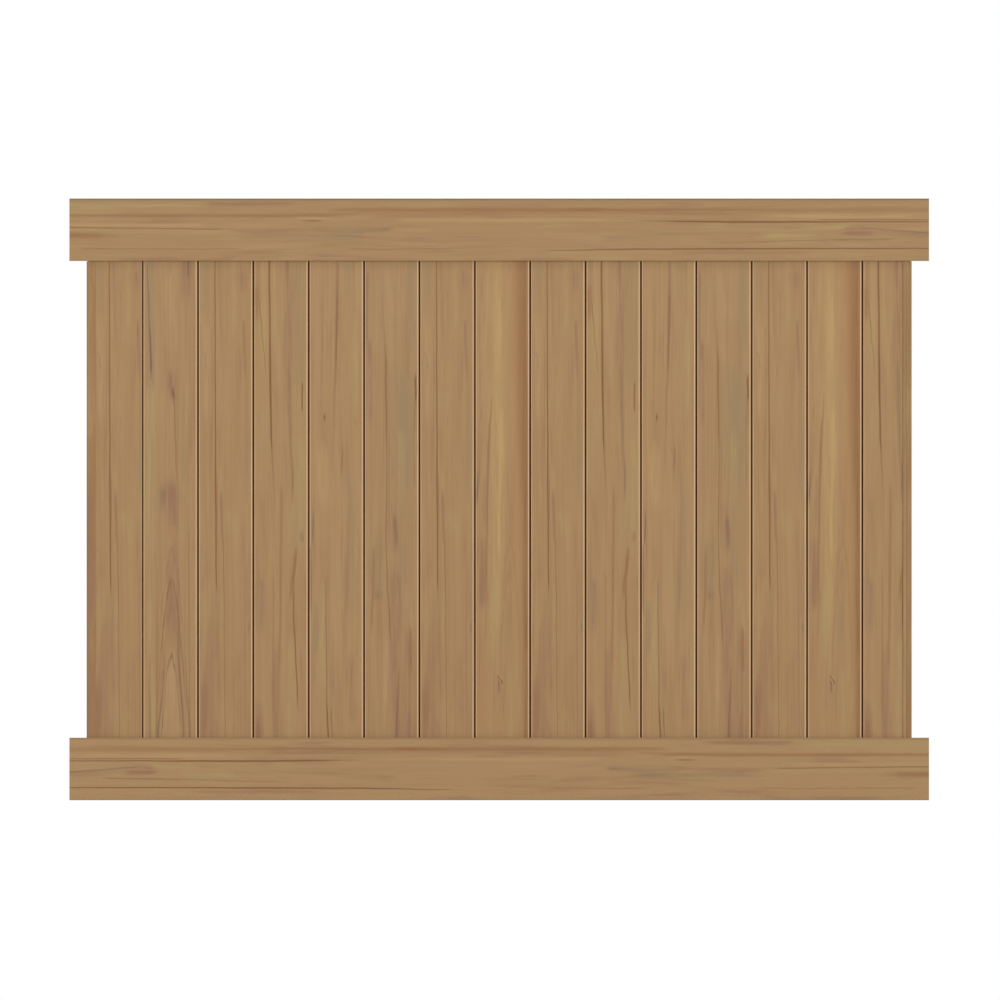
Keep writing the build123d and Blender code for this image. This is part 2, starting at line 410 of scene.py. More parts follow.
                (0, 64, 18, 0.5), (200, 66, 26, 0.6), (438, 68, 24, 0.7), (788, 64, 24, 0.7),
                (900, 60, 22, 0.5), (1100, 60, 18, 0.3), (1200, 60, 14, 0),
            ]),
            ("olive", [(280, 66, 16, 0), (350, 66, 18, 0.5), (430, 66, 16, 0)]),
            ("olive", [(860, 54, 20, 0), (930, 54, 24, 0.8), (1050, 52, 22, 0.6), (1140, 50, 18, 0)]),
            ("orange", [
                (0, 104, 24, 0.6), (120, 106, 24, 0.5), (430, 110, 24, 0.5), (850, 114, 20, 0.4),
                (1100, 116, 16, 0),
            ]),
            ("redBrown", [
                (0, 132, 34, 0.75), (250, 134, 32, 0.75), (438, 136, 30, 0.75), (875, 141, 22, 0.7),
                (1312, 141, 20, 0.5),
            ]),
            ("umber", [
                (0, 136, 9, 0.15), (438, 138, 9, 0.25), (875, 140, 10, 0.3), (1312, 142, 10, 0.3),
            ]),
            ("mauve", [(740, 19, 18, 0), (800, 19, 20, 0.5), (930, 17, 20, 0.6), (980, 15, 14, 0)]),
            ("orange", [(960, 20, 16, 0), (1020, 20, 18, 0.3), (1312, 20, 20, 0.3)]),
            ("slate", [
                (430, 12, 10, 0), (500, 14, 12, 0.4), (560, 12, 10, 0.2), (600, 8, 8, 0.5),
                (640, 5, 7, 0.8), (690, 5, 5, 0),
            ]),
            ("mauve", [(560, 26, 8, 0), (620, 26, 9, 0.5), (700, 24, 9, 0.5), (760, 22, 8, 0)]),
            ("redBrown", [
                (340, 48, 3, 0), (400, 45, 4, 0.5), (470, 40, 6, 0.6), (530, 37, 6, 0.6),
                (700, 33, 5, 0.5), (850, 31, 5, 0.5), (1000, 30, 5, 0.4), (1100, 28, 4, 0),
            ]),
            ("slate", [(440, 38, 4, 0), (520, 36, 5, 0.3), (700, 33, 5, 0.3), (830, 31, 4, 0)]),
            ("redBrown", [(380, 22, 4, 0), (420, 17, 5, 0.4), (470, 11, 5, 0)]),
            ("greyOlive", [(900, 92, 16, 0), (950, 92, 18, 0.4), (1060, 92, 18, 0.3), (1100, 92, 14, 0)]),
            ("pale", [(1135, 70, 8, 0), (1155, 70, 12, 1), (1180, 70, 8, 0)]),
            ("umber", [(1138, 60, 4, 0), (1146, 66, 4.6, 0.8), (1158, 74, 4.6, 0.8), (1172, 73, 4, 0)]),
            ("umber", [(1150, 62, 4, 0), (1160, 66, 4.6, 0.85), (1176, 67, 4.6, 0.65), (1196, 66, 3, 0)]),
            ("olive", [(1100, 100, 10, 0), (1160, 100, 12, 0.5), (1312, 98, 12, 0.4)]),
            ("redBrown", [(990, 60, 3, 0), (1060, 57, 3, 0.3), (1200, 52, 3, 0.3), (1260, 50, 3, 0)]),
        ],
        "arches": [
            ("redBrown", (96, 770, 110, 18, 26, 0.25)),
            ("redBrown", (96, 850, 110, 18, 26, 0.25)),
        ],
    },
}
# painted highlights along each board's rounded edges, strongest on the right edge, and a painted shade
# line where the right edge turns into the joint
paintedEdgeLightAndShade = [
    ("edge", [(0, 147.0, 2.3, 0.78), (1312, 147.0, 2.3, 0.78)]),
    ("umber", [(0, 150.6, 3.2, 1.0), (1312, 150.6, 3.2, 1.0)]),
    ("edge", [(0, 3.4, 2.2, 0.45), (1312, 3.4, 2.2, 0.45)]),
]

# The rails carry one print of their own: the path runs along the rail, then down its face.
railPrint = {
    "seed": 83.0,
    "fibre": 0.25,
    "streaks": [
        ("olive", [(0, 20, 20, 0.7), (320, 20, 20, 0.7), (420, 20, 16, 0)]),
        ("mauve", [(360, 13, 8, 0), (400, 13, 9, 0.8), (580, 13, 9, 0.8), (640, 13, 7, 0)]),
        ("redBrown", [(760, 36, 16, 0), (900, 36, 20, 0.35), (1700, 34, 18, 0.3), (2366, 34, 16, 0.3)]),
        ("redBrown", [
            (0, 47, 8, 0.6), (480, 47, 9, 0.65), (700, 46, 9, 0.6), (780, 42, 7, 0.3), (840, 36, 6, 0),
        ]),
        ("redBrown", [
            (690, 32, 6, 0), (760, 31, 8, 0.5), (1300, 31, 8, 0.6), (1440, 31, 8, 1), (1500, 31, 6, 0.6),
            (1761, 31, 4, 0.5), (2366, 31, 4, 0.2),
        ]),
        ("golden", [(870, 59, 8, 0), (950, 59, 9, 0.5), (1440, 59, 9, 0.45), (1520, 59, 7, 0)]),
        ("honey", [(0, 73, 7, 0.7), (340, 73, 7, 0.7), (400, 73, 6, 0)]),
        ("umber", [(0, 80, 3, 0.6), (200, 82, 3, 0.6), (400, 84, 3, 0.6), (450, 84, 2, 0)]),
        ("redBrown", [(0, 101, 14, 0.8), (70, 101, 14, 0.7), (110, 101, 12, 0.3), (150, 101, 10, 0)]),
        ("pale", [(610, 54, 4, 0), (650, 54, 5, 0.9), (700, 54, 5, 0.9), (730, 54, 4, 0)]),
        ("umber", [(630, 61, 3, 0), (655, 61, 3.6, 0.6), (680, 61, 3.6, 0.7), (705, 61, 3, 0)]),
        ("slate", [
            (650, 86, 9, 0), (700, 86, 12, 0.25), (840, 85, 12, 0.25), (870, 84, 11, 0.45),
            (900, 84, 8, 0),
        ]),
        ("greyOlive", [(440, 103, 10, 0), (490, 103, 12, 0.6), (770, 103, 12, 0.8), (820, 103, 10, 0)]),
        ("slate", [(690, 97, 10, 0), (750, 97, 13, 0.25), (795, 97, 13, 0.25), (840, 97, 10, 0)]),
        ("greyOlive", [(570, 121, 4, 0), (620, 119, 5, 0.7), (780, 111, 5, 0.7), (830, 109, 4, 0)]),
        ("umber", [(20, 139, 2, 0), (50, 139, 2, 0.5), (440, 139, 2, 0.5), (490, 139, 2, 0)]),
        ("umber", [(750, 139, 2, 0), (800, 139, 2, 0.5), (1010, 139, 2, 0.5), (1060, 139, 2, 0)]),
        ("olive", [(1720, 77, 12, 0), (1755, 77, 14, 0.9), (1785, 77, 14, 0.9), (1820, 77, 10, 0)]),
        ("olive", [(1880, 103, 24, 0), (1940, 103, 26, 0.8), (2030, 103, 26, 0.8), (2080, 103, 20, 0)]),
        ("olive", [(2000, 77, 12, 0), (2040, 77, 14, 0.9), (2130, 77, 14, 0.9), (2170, 77, 10, 0)]),
        ("honey", [(1860, 49, 10, 0), (1960, 49, 12, 0.7), (2366, 49, 12, 0.7)]),
        ("redBrown", [(2040, 58, 2.4, 0), (2080, 58, 3, 0.7), (2366, 58, 3, 0.7)]),
        ("mauve", [(2110, 92, 14, 0), (2150, 92, 22, 0.9), (2190, 92, 20, 0.7), (2230, 92, 12, 0)]),
        ("mauve", [(2250, 98, 10, 0), (2300, 99, 14, 0.8), (2366, 100, 14, 0.9)]),
        ("slate", [(2160, 81, 3, 0), (2190, 82, 4, 0.5), (2280, 88, 4, 0.45), (2366, 95, 4, 0.4)]),
        ("slate", [(2090, 114, 3, 0), (2120, 114, 4, 0.5), (2250, 112, 4, 0.5), (2290, 111, 3, 0)]),
        ("umber", [(1740, 124, 3, 0), (1820, 121, 3, 0.3), (2040, 115, 3.4, 0.4), (2200, 111, 3, 0)]),
        ("olive", [(1290, 149, 6, 0), (1350, 149, 8, 0.5), (1640, 148, 8, 0.5), (1700, 148, 6, 0)]),
        ("mauve", [(1650, 149, 6, 0), (1720, 149, 8, 0.45), (1990, 149, 8, 0.45), (2060, 149, 6, 0)]),
        ("umber", [
            (1540, 61, 2, 0), (1600, 61.5, 2.6, 0.5), (1708, 63, 3.8, 1), (1900, 64.5, 4.4, 1),
            (2053, 64.5, 3.8, 1), (2130, 64, 3, 0.85), (2366, 64, 3, 0.8),
        ]),
        ("umber", [
            (1290, 143.5, 2.4, 0), (1340, 143, 3, 0.5), (1562, 139, 3.8, 0.9), (1922, 138, 3.6, 0.9),
            (2020, 137.5, 3, 0.85), (2366, 137, 3, 0.85),
        ]),
    ],
}
# painted shade: both rails darken towards the upper edge, the top rail more; painted light: the bottom
# rail's base is lighter to make up for the dimmer light near the floor
railLooksAndPaintedShade = {
    "topRail": {
        "base": (164, 132, 95),
        "edges": [
            ("greyOlive", [(0, 5, 13, 0.6), (2366, 5, 13, 0.6)]),
            ("umber", [(0, 1, 6, 0.7), (2366, 1, 6, 0.7)]),
        ],
    },
    "bottomRail": {
        # painted light: a lighter base than the top rail's, against the dimmer light near the floor
        "base": (171, 139, 102),
        "edges": [("umber", [(0, 2, 6, 0.35), (2366, 2, 6, 0.35)])],
    },
}
printLength = {"board": 1312.0, "rail": 2366.0}  # mm along the grain

grain = {  # millimetres, and each size is across the grain, then along it
    "wander": 1.6,  # how far streaks stray from their paths
    "wanderSize": (40.0, 110.0),
    "drift": 8.0,  # how far the fine grain leans over
    "driftSize": (150.0, 500.0),
    "fibreSize": (7.5, 600.0),
    "fibreDark": (157, 124, 88),
    "fibreLight": (173, 140, 101),
    "strandSize": (9.0, 180.0),
    "blotchSize": (26.0, 280.0),
    "blotchInks": ("olive", "mauve", "pale"),
    "blotchStrength": 0.5,
    "poreSize": (1.8, 70.0),
    "poreStrength": 0.35,
    "broadStreak": 9,  # a wider patch is made of strands
    "archRise": 16.0,
    "roughness": 0.5,
    "embossDepth": 0.00012,  # m
}


def stretchedNoise(across, along, seed, size, detail=2.0, rough=0.5):
    spot = {"X": across / size[0], "Y": along / size[1], "Z": seed}
    place = across.node("CombineXYZ", None, spot)
    sockets = {"Vector": place, "Scale": 1.0, "Detail": detail, "Roughness": rough}
    return across.node("TexNoise", {"noise_dimensions": "3D"}, sockets)


def streakMask(across, share, length, path):
    # a ramp carries the path: where it is across, how wide and how strong, for each place along
    widest = 240.0
    stops = []
    for along, at, width, strength in path:
        stops.append((along / length, (at / widest, width / widest, strength, 1.0)))
    carried = share.node("ValToRGB", {"stops": stops, "ease": "EASE"}, {"Fac": share}, "Color")
    at, width, strength = carried.channels()
    away = abs(across - at * widest) / (width * widest)
    return away.smooth(0.0, 1.0, 1.0, 0.0) * strength


def archMask(across, along, arch):
    middle, apex, drop, spread, thick, strength = arch
    side = abs(across - middle) / spread
    fall = drop * side.maths("POWER", side, 1.7)
    away = abs(along - apex - fall) / (thick + side * thick * 1.5)
    return away.smooth(0.0, 1.0, 1.0, 0.0) * side.smooth(0.9, 1.8, strength, 0.0)


def printedVinyl(name, look, length):
    material, wire, shader = startMaterial(name, Specular_IOR_Level=vinylGloss)
    seed = look["seed"]
    place = wire.node("UVMap", {"uv_map": "print"}, None, "UV")
    split = wire.node("SeparateXYZ", None, {"Vector": place}, "X")
    across, along = split * 1000.0, split.part("Y") * 1000.0
    share = along / length
    wanderNoise = stretchedNoise(across, along, seed, grain["wanderSize"])
    driftNoise = stretchedNoise(across, along, seed + 1, grain["driftSize"], 0.0)
    strayed = across + (wanderNoise - 0.5) * (2 * grain["wander"])
    drifted = across + (driftNoise - 0.5) * (2 * grain["drift"])
    fibreNoise = stretchedNoise(drifted, along, seed + 3, grain["fibreSize"], 4.0, 0.65)
    strandNoise = stretchedNoise(drifted, along, seed + 4, grain["strandSize"], 3.0, 0.6)
    blotchNoise = stretchedNoise(drifted, along, seed + 6, grain["blotchSize"])
    poreNoise = stretchedNoise(drifted, along, seed + 9, grain["poreSize"], 1.0)
    fibre = fibreNoise.smooth(0.3, 0.7)
    pore = poreNoise.smooth(0.66, 0.8)
    strands = [channel.smooth(0.36, 0.64, 0.3, 1.5) for channel in strandNoise.channels()]

    colour = vinylTone(look["base"])
    for ink, blotch, strand in zip(grain["blotchInks"], blotchNoise.channels(), strands):
        mask = blotch.smooth(0.48, 0.7) * strand * grain["blotchStrength"]
        colour = wire.blend(colour, vinylTone(inks[ink]), mask)
    colour = wire.blend(colour, vinylTone(grain["fibreDark"]), (1 - fibre) * look["fibre"])
    colour = wire.blend(colour, vinylTone(grain["fibreLight"]), fibre * look["fibre"])
    streaky = fibre * 0.3 + 0.85
    for number, (ink, path) in enumerate(look["streaks"]):
        # a narrow streak or a band of red brown is nearly whole
        wide = max(point[2] for point in path) > grain["broadStreak"] and ink != "redBrown"
        broken = strands[number % 3] if wide else streaky
        mask = streakMask(strayed, share, length, path) * broken
        colour = wire.blend(colour, vinylTone(inks[ink]), mask)
    for number, (ink, arch) in enumerate(look.get("arches", [])):
        rise = along + (strands[(number + 1) % 3] - 0.9) * grain["archRise"]
        mask = archMask(strayed, rise, arch) * strands[number % 3]
        colour = wire.blend(colour, vinylTone(inks[ink]), mask)
    # painted highlights and painted shade along the edges of the boards, the rails and the left channel
    for ink, path in look.get("edges", []):
        mask = streakMask(across, share, length, path) * streaky
        colour = wire.blend(colour, vinylTone(inks[ink]), mask)
    colour = wire.blend(colour, vinylTone(inks["umber"]), pore * grain["poreStrength"])
    plug(shader, "Base Color", colour)
    plug(shader, "Roughness", grain["roughness"] + (fibre - 0.5) * 0.1 + pore * 0.1)
    addBump(shader, wire, 0.5, grain["embossDepth"], fibre * 0.6 + poreNoise * 0.4)
    return material


channelPrints = {
    "left": {
        "seed": 91.0,
        "fibre": 0.25,
        "base": (147, 114, 77),
        "streaks": [
            ("golden", [(0, 10, 14, 0.22), (520, 10, 14, 0.2), (700, 10, 12, 0)]),
            ("mauve", [(480, 16, 12, 0), (700, 16, 14, 0.6), (1312, 16, 14, 0.5)]),
            ("redBrown", [(560, 5, 6, 0), (800, 5, 7, 0.4), (1312, 5, 7, 0.4)]),
        ],
        # painted shade: a dark line along the channel's outer rounded edge
        "edges": [("umber", [(0, 0, 4, 0.5), (1312, 0, 4, 0.5)])],
    },
    "right": {
        "seed": 97.0,
        "fibre": 0.25,
        "base": (149, 117, 82),
        "streaks": [
            ("greyOlive", [(0, 6, 8, 0.4), (400, 6, 8, 0.4), (600, 6, 6, 0)]),
            ("honey", [(500, 19, 6, 0), (700, 19, 7, 0.4), (1312, 19, 7, 0.4)]),
            ("umber", [(0, 13.5, 4, 0.2), (1312, 13.5, 4, 0.25)]),
            ("umber", [(0, 7, 4, 0.2), (1312, 7, 4, 0.15)]),
        ],
    },
}

print("printing the vinyl")
film = {}
for key, look in boardPrints.items():
    look = {**look, "edges": paintedEdgeLightAndShade}
    film[key] = printedVinyl("boardPrint" + key, look, printLength["board"])
for name, look in railLooksAndPaintedShade.items():
    film[name] = printedVinyl(name + "Print", {**railPrint, **look}, printLength["rail"])
for side, look in channelPrints.items():
    film[side] = printedVinyl(side + "ChannelPrint", look, printLength["board"])

coreLook = {"base": (170, 141, 104), "dark": (158, 129, 93), "roughness": 0.55}
# the joint faces get a dark vinyl: painted shade for the dark gaps between the boards
paintedJointShadeLook = {"base": (88, 51, 38), "dark": (78, 46, 38), "roughness": 0.7}
dieLines = {"alongX": (2.0, 700.0, 700.0), "alongZ": (700.0, 700.0, 2.0)}  # lines per metre


def coreVinyl(name, look, stretch):
    # unprinted vinyl inside and at the sawn ends, with faint lines from the die
    material, wire, shader = startMaterial(name, Specular_IOR_Level=vinylGloss)
    place = wire.node("TexCoord", None, None, "Object")
    mapped = wire.node("Mapping", None, {"Vector": place, "Scale": stretch}, "Vector")
    lines = wire.node("TexNoise", None, {"Vector": mapped, "Scale": 1.0, "Detail": 3.0})
    cloud = wire.node("TexNoise", None, {"Vector": place, "Scale": 9.0, "Detail": 2.0})
    uneven = lines.smooth(0.35, 0.65) * 0.5 + cloud.smooth(0.4, 0.7) * 0.3
    colour = wire.blend(vinylTone(look["base"]), vinylTone(look["dark"]), uneven)
    plug(shader, "Base Color", colour)
    plug(shader, "Roughness", look["roughness"] + (lines - 0.5) * 0.2)
    addBump(shader, wire, 0.4, 0.0001, lines)
    return material


railCore = coreVinyl("coreVinylRail", coreLook, dieLines["alongX"])
boardCore = coreVinyl("coreVinylBoard", coreLook, dieLines["alongZ"])
paintedJointShade = coreVinyl("paintedJointShade", paintedJointShadeLook, dieLines["alongZ"])

zincLook = {"light": (196, 200, 202), "dark": (150, 156, 160), "flakes": 55.0, "ragged": 60.0}


def galvanised(name):
    material, wire, shader = startMaterial(name, Metallic=0.85)
    place = wire.node("TexCoord", None, None, "Object")
    bend = wire.node("TexNoise", None, {"Vector": place, "Scale": zincLook["ragged"]}, "Color")
    sockets = {0: bend, 1: (0.01, 0.01, 0.01), 2: place}
    shifted = wire.node("VectorMath", {"operation": "MULTIPLY_ADD"}, sockets, "Vector")
    sockets = {"Vector": shifted, "Scale": zincLook["flakes"]}
    shine, dull, _ = wire.node("TexVoronoi", None, sockets, "Color").channels()
    plug(shader, "Base Color", wire.blend(tone(*zincLook["dark"]), tone(*zincLook["light"]), shine))
    plug(shader, "Roughness", 0.32 + dull * 0.2)
    addBump(shader, wire, 0.2, 0.0001, shine)
    return material


steel = galvanised("galvanisedSteel")


def roundedLoop(bm, corners, steps=5):
    # a closed outline through a few corners given as (first, second, radius)
    verts = [bm.verts.new((a * mm, b * mm, 0.0)) for a, b, radius in corners]
    bm.faces.new(verts)
    for radius in sorted({c[2] for c in corners} - {0.0}):
        group = [v for v, c in zip(verts, corners) if c[2] == radius]
        bmesh.ops.bevel(
            bm, geom=group, offset=radius * mm, offset_type="OFFSET", affect="VERTICES",
            segments=steps, profile=0.5, material=-1,
        )


def boxCorners(left, right, low, high, radius):
    return [(left, low, radius), (right, low, radius), (right, high, radius), (left, high, radius)]


def bothSides(upper):
    # an outline's upper half, and the same mirrored below
    return upper + [(a, -b, radius) for a, b, radius in reversed(upper)]


def extrusion(loops, length, placed):
    # loops drawn on the plane, filled between, and drawn out by length
    bm = bmesh.new()
    for corners in loops:
        roundedLoop(bm, corners)
    bmesh.ops.delete(bm, geom=bm.faces[:], context="FACES_ONLY")
    bmesh.ops.triangle_fill(bm, edges=bm.edges[:], use_beauty=True, normal=(0.0, 0.0, 1.0))
    drawn = bmesh.ops.extrude_face_region(bm, geom=bm.faces[:])
    moved = [v for v in drawn["geom"] if isinstance(v, bmesh.types.BMVert)]
    bmesh.ops.translate(bm, verts=moved, vec=(0.0, 0.0, length))
    bmesh.ops.transform(bm, matrix=placed, verts=bm.verts[:])
    bmesh.ops.recalc_face_normals(bm, faces=bm.faces[:])
    return bm


def alongPanel(low, high, turned=False):
    # the section's first axis goes across the panel, its second up, and it is drawn out along X
    up, start = (-1, high.z) if turned else (1, low.z)
    return Matrix(((0, 0, 1, low.x), (1, 0, 0, 0), (0, up, 0, start), (0, 0, 0, 1)))


def layPrint(bm, unroll, slotOf):
    # the print's own coordinates in metres: across the grain, then along it
    layer = bm.loops.layers.uv.new("print")
    bm.normal_update()
    for face in bm.faces:
        face.material_index = slotOf(face)
        for loop in face.loops:
            loop[layer].uv = unroll(loop.vert.co, face.normal)


def finishPiece(name, bm, materials, node):
    mesh = bpy.data.meshes.new(name)
    bm.to_mesh(mesh)
    bm.free()
    piece = bpy.data.objects.new(name, mesh)
    scene.collection.objects.link(piece)
    for material in materials:
        mesh.materials.append(material)
    mesh.shade_smooth()
    mesh.set_sharp_from_angle(angle=radians(40))
    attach(piece, "root")
    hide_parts(node)
    return piece


def evenNormals(piece):
    evened = piece.modifiers.new("evenNormals", "WEIGHTED_NORMAL")
    evened.keep_sharp = True


def drill(piece, spots, radius, depth, turn):
    # round holes, cut by cylinders that are gone afterwards
    bm = bmesh.new()
    for spot in spots:
        bmesh.ops.create_cone(
            bm, cap_ends=True, segments=24, radius1=radius, radius2=radius, depth=depth,
            matrix=Matrix.Translation(spot) @ turn,
        )
    mesh = bpy.data.meshes.new("drills")
    bm.to_mesh(mesh)
    bm.free()
    for material in piece.data.materials:
        mesh.materials.append(material)
    mesh.polygons.foreach_set("material_index", [1] * len(mesh.polygons))
    cutter = bpy.data.objects.new("drills", mesh)
    scene.collection.objects.link(cutter)
    cut = piece.modifiers.new("holes", "BOOLEAN")
    cut.operation = "DIFFERENCE"
    cut.solver = "EXACT"
    cut.object = cutter
    bpy.context.view_layer.update()
    done = piece.evaluated_get(bpy.context.evaluated_depsgraph_get())
    cutMesh = bpy.data.meshes.new_from_object(done)
    piece.modifiers.remove(cut)
    old = piece.data
    piece.data = cutMesh
    bpy.data.meshes.remove(old)
    bpy.data.objects.remove(cutter)
    cutMesh.name = piece.name


faceTop = 1.484  # m, the top rail's lower edge, where the upright prints start

board = {  # mm
    "order": "SKSDEFSHSDEFSHD",
    "pitch": 152.4,
    "body": 149.4,
    "joint": 3.0,
    "half": 11.1,
    "wall": 1.4,
    "grooveEdge": 1.3,
    "grooveHalf": 4.4,
    "grooveDepth": 12.0,
    "grooveRoom": 1.0,
    "tongueEdge": 3.75,
    "tongueHalf": 4.0,
    "tongueReach": 13.0,
    "tongueTip": 1.2,
    "sawnEdge": 0.3,
    "webs": 4,
    "web": 1.1,
    "cell": 0.6,
    "smallCell": 0.3,
    "firstShift": -14.0,  # the first board's print lies further over
}
boardFilm = {"skin": 9.75, "edgeDepth": 7.3, "edgeBand": 1.3}  # mm, how far the film goes round


def boardOutline(width):
    half, groove, tongue = board["half"], board["grooveHalf"], board["tongueHalf"]
    upper = [
        (board["grooveDepth"], groove, 0.0), (0.0, groove, board["sawnEdge"]),
        (0.0, half, board["grooveEdge"]),
    ]
    if width < board["body"]:
        upper += [(width, half, board["sawnEdge"])]
    else:
        upper += [
            (width, half, board["tongueEdge"]), (width, tongue, 0.0),
            (width + board["tongueReach"], tongue, board["tongueTip"]),
        ]
    return bothSides(upper)


def boardCells(width):
    wall, half, small = board["wall"], board["half"] - board["wall"], board["smallCell"]
    first = board["grooveDepth"] + wall
    step = (board["body"] - wall - first) / (board["webs"] + 1)
    edges = [first + step * n for n in range(board["webs"] + 2)]
    cells = []
    for left, right in zip(edges, edges[1:]):
        left += 0 if left == edges[0] else board["web"] / 2
        right -= 0 if right == edges[-1] else board["web"] / 2
        if left < width - wall:
            cells.append(boxCorners(left, min(right, width - wall), -half, half, board["cell"]))
    # the cells over and under the groove, and the one inside the tongue
    groove = board["grooveHalf"] + wall
    for side in (-1, 1):
        reach = sorted((side * groove, side * half))
        cells.append(boxCorners(wall + board["grooveRoom"], first - wall, *reach, small))
    if width >= board["body"]:
        tongue = board["tongueHalf"] - wall
        tip = width + board["tongueReach"] - wall
        cells.append(boxCorners(width, tip, -tongue, tongue, small))
    return cells


def boardSlot(face, left, width):
    # 0 the printed skins with their rounded edges, 1 bare, 2 the bare edges that show in the joints,
    # given a dark vinyl as painted shade for the gaps
    at = face.calc_center_median()
    edge, out = (at.x - left) / mm, abs(at.y) / mm
    if abs(face.normal.z) > 0.5:
        return 1
    if edge < 0.01 or edge > width - 0.01:
        return 2
    nearEdge = min(edge, width - edge) < boardFilm["edgeBand"]
    rounded = out > boardFilm["edgeDepth"] and nearEdge
    return 0 if out > boardFilm["skin"] or rounded else 1


def makeBoard(number, key, firstLeft):
    node = "board_%02d" % number
    low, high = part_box(node)
    left = firstLeft + (number - 1) * board["pitch"] * mm
    ripped = number == len(board["order"])
    width = (high.x - left) / mm if ripped else board["body"]
    loops = [boardOutline(width)] + boardCells(width)
    bm = extrusion(loops, high.z - low.z, Matrix.Translation((left, 0.0, low.z)))
    jointLeft = left - board["joint"] / 2 * mm
    jointRight = jointLeft + board["pitch"] * mm
    shift = board["firstShift"] * mm if number == 1 else 0.0

    def unroll(co, normal):
        across = jointRight - co.x if normal.y > 0.3 else co.x - jointLeft + shift
        return across, faceTop - co.z

    layPrint(bm, unroll, lambda face: boardSlot(face, left, width))
    vinyls = [film[key], boardCore, paintedJointShade]
    evenNormals(finishPiece("board%02d" % number, bm, vinyls, node))


print("standing the boards in the rails")
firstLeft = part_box("board_01")[0].x
for number, key in enumerate(board["order"], 1):
    makeBoard(number, key, firstLeft)

rail = {  # mm
    "height": 172.0,
    "half": 22.25,
    "wall": 2.3,
    "corner": 3.0,
    "cell": 1.2,
    "middleWeb": 66.0,
    "pocketFloor": 134.0,
    "pocketHalf": 11.5,
    "pocketWall": 1.8,
    "mouth": 0.8,
    "film": 1.5,  # how far the film goes in from the outside
}
drains = {  # m
    "places": (-1.033, -0.344333, 0.344333, 1.033),
    "radius": 0.004,
    "railMiddle": 0.068,
    "railDepth": 0.150,
    "steelDepth": 0.010,
}


def railLoops():
    half, wall, height = rail["half"], rail["wall"], rail["height"]
    pocket, pocketFloor, mouth = rail["pocketHalf"], rail["pocketFloor"], rail["mouth"]
    inside, corner, cell = half - wall, rail["corner"], rail["cell"]
    sideCell = pocket + rail["pocketWall"]
    upperLow = rail["middleWeb"] + rail["pocketWall"]
    outline = [
        (-half, 0.0, corner), (half, 0.0, corner), (half, height, corner),
        (pocket, height, mouth), (pocket, pocketFloor, 0.0), (-pocket, pocketFloor, 0.0),
        (-pocket, height, mouth), (-half, height, corner),
    ]
    return [
        outline,
        boxCorners(-inside, inside, wall, rail["middleWeb"], cell),
        boxCorners(-inside, inside, upperLow, pocketFloor - rail["pocketWall"], cell),
        boxCorners(-inside, -sideCell, pocketFloor, height - wall, cell),
        boxCorners(sideCell, inside, pocketFloor, height - wall, cell),
    ]


def makeRail(name, node, turned):
    low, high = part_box(node)
    bm = extrusion(railLoops(), high.x - low.x, alongPanel(low, high, turned))
    filmDepth = rail["film"] * mm

    def unroll(co, normal):
        along = co.x - low.x if turned != (normal.y > 0.5) else high.x - co.x
        if normal.z > 0.75:
            return -(co.y + high.y), along
        if normal.z < -0.75:
            return rail["height"] * mm + co.y + high.y, along
        return high.z - co.z, along

    def slotOf(face):
        at = face.calc_center_median()
        nearEdge = min(high.z - at.z, at.z - low.z) < filmDepth
        besidePocket = abs(face.normal.z) > 0.5 or abs(at.y) > rail["pocketHalf"] * mm
        outside = abs(at.y) > high.y - filmDepth or (nearEdge and besidePocket)
        return 0 if outside and abs(face.normal.x) < 0.5 else 1

    layPrint(bm, unroll, slotOf)
    return finishPiece(name, bm, [film[name], railCore], node)


print("laying the rails")
topRail = makeRail("topRail", "top_rail", True)
bottomRail = makeRail("bottomRail", "bottom_rail", False)
spots = [(x, 0.0, drains["railMiddle"]) for x in drains["places"]]
drill(bottomRail, spots, drains["radius"], drains["railDepth"], Matrix.Identity(4))
for piece in (topRail, bottomRail):
    evenNormals(piece)

stiffener = {"sheet": 1.4, "bend": 2.4, "lip": 9.0, "sawnEdge": 0.4}  # mm


def makeStiffener():
    low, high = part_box("rail_stiffener")
    sheet, bend, sawn = stiffener["sheet"], stiffener["bend"], stiffener["sawnEdge"]
    half, top = high.y / mm, (high.z - low.z) / mm
    slot, inner, innerBend = half - stiffener["lip"], half - sheet, bend - sheet
    outline = [
        (-slot, 0.0, sawn), (-half, 0.0, bend), (-half, top, bend), (half, top, bend),
        (half, 0.0, bend), (slot, 0.0, sawn), (slot, sheet, sawn), (inner, sheet, innerBend),
        (inner, top - sheet, innerBend), (-inner, top - sheet, innerBend),
        (-inner, sheet, innerBend), (-slot, sheet, sawn),
    ]
    bm = extrusion([outline], high.x - low.x, alongPanel(low, high))
    piece = finishPiece("railStiffener", bm, [steel, steel], "rail_stiffener")
    spots = [(x, 0.0, high.z) for x in drains["places"]]
    drill(piece, spots, drains["radius"], drains["steelDepth"], Matrix.Identity(4))
    evenNormals(piece)


print("sliding in the stiffener")
makeStiffener()

channel = {  # mm
    "leg": 24.0,
    "wall": 1.8,
    "corner": 1.5,
    "tip": 0.6,
    "hole": 2.4,
    "holes": 4,
    "holeEnd": 60.0,
    "drill": 8.0,
}


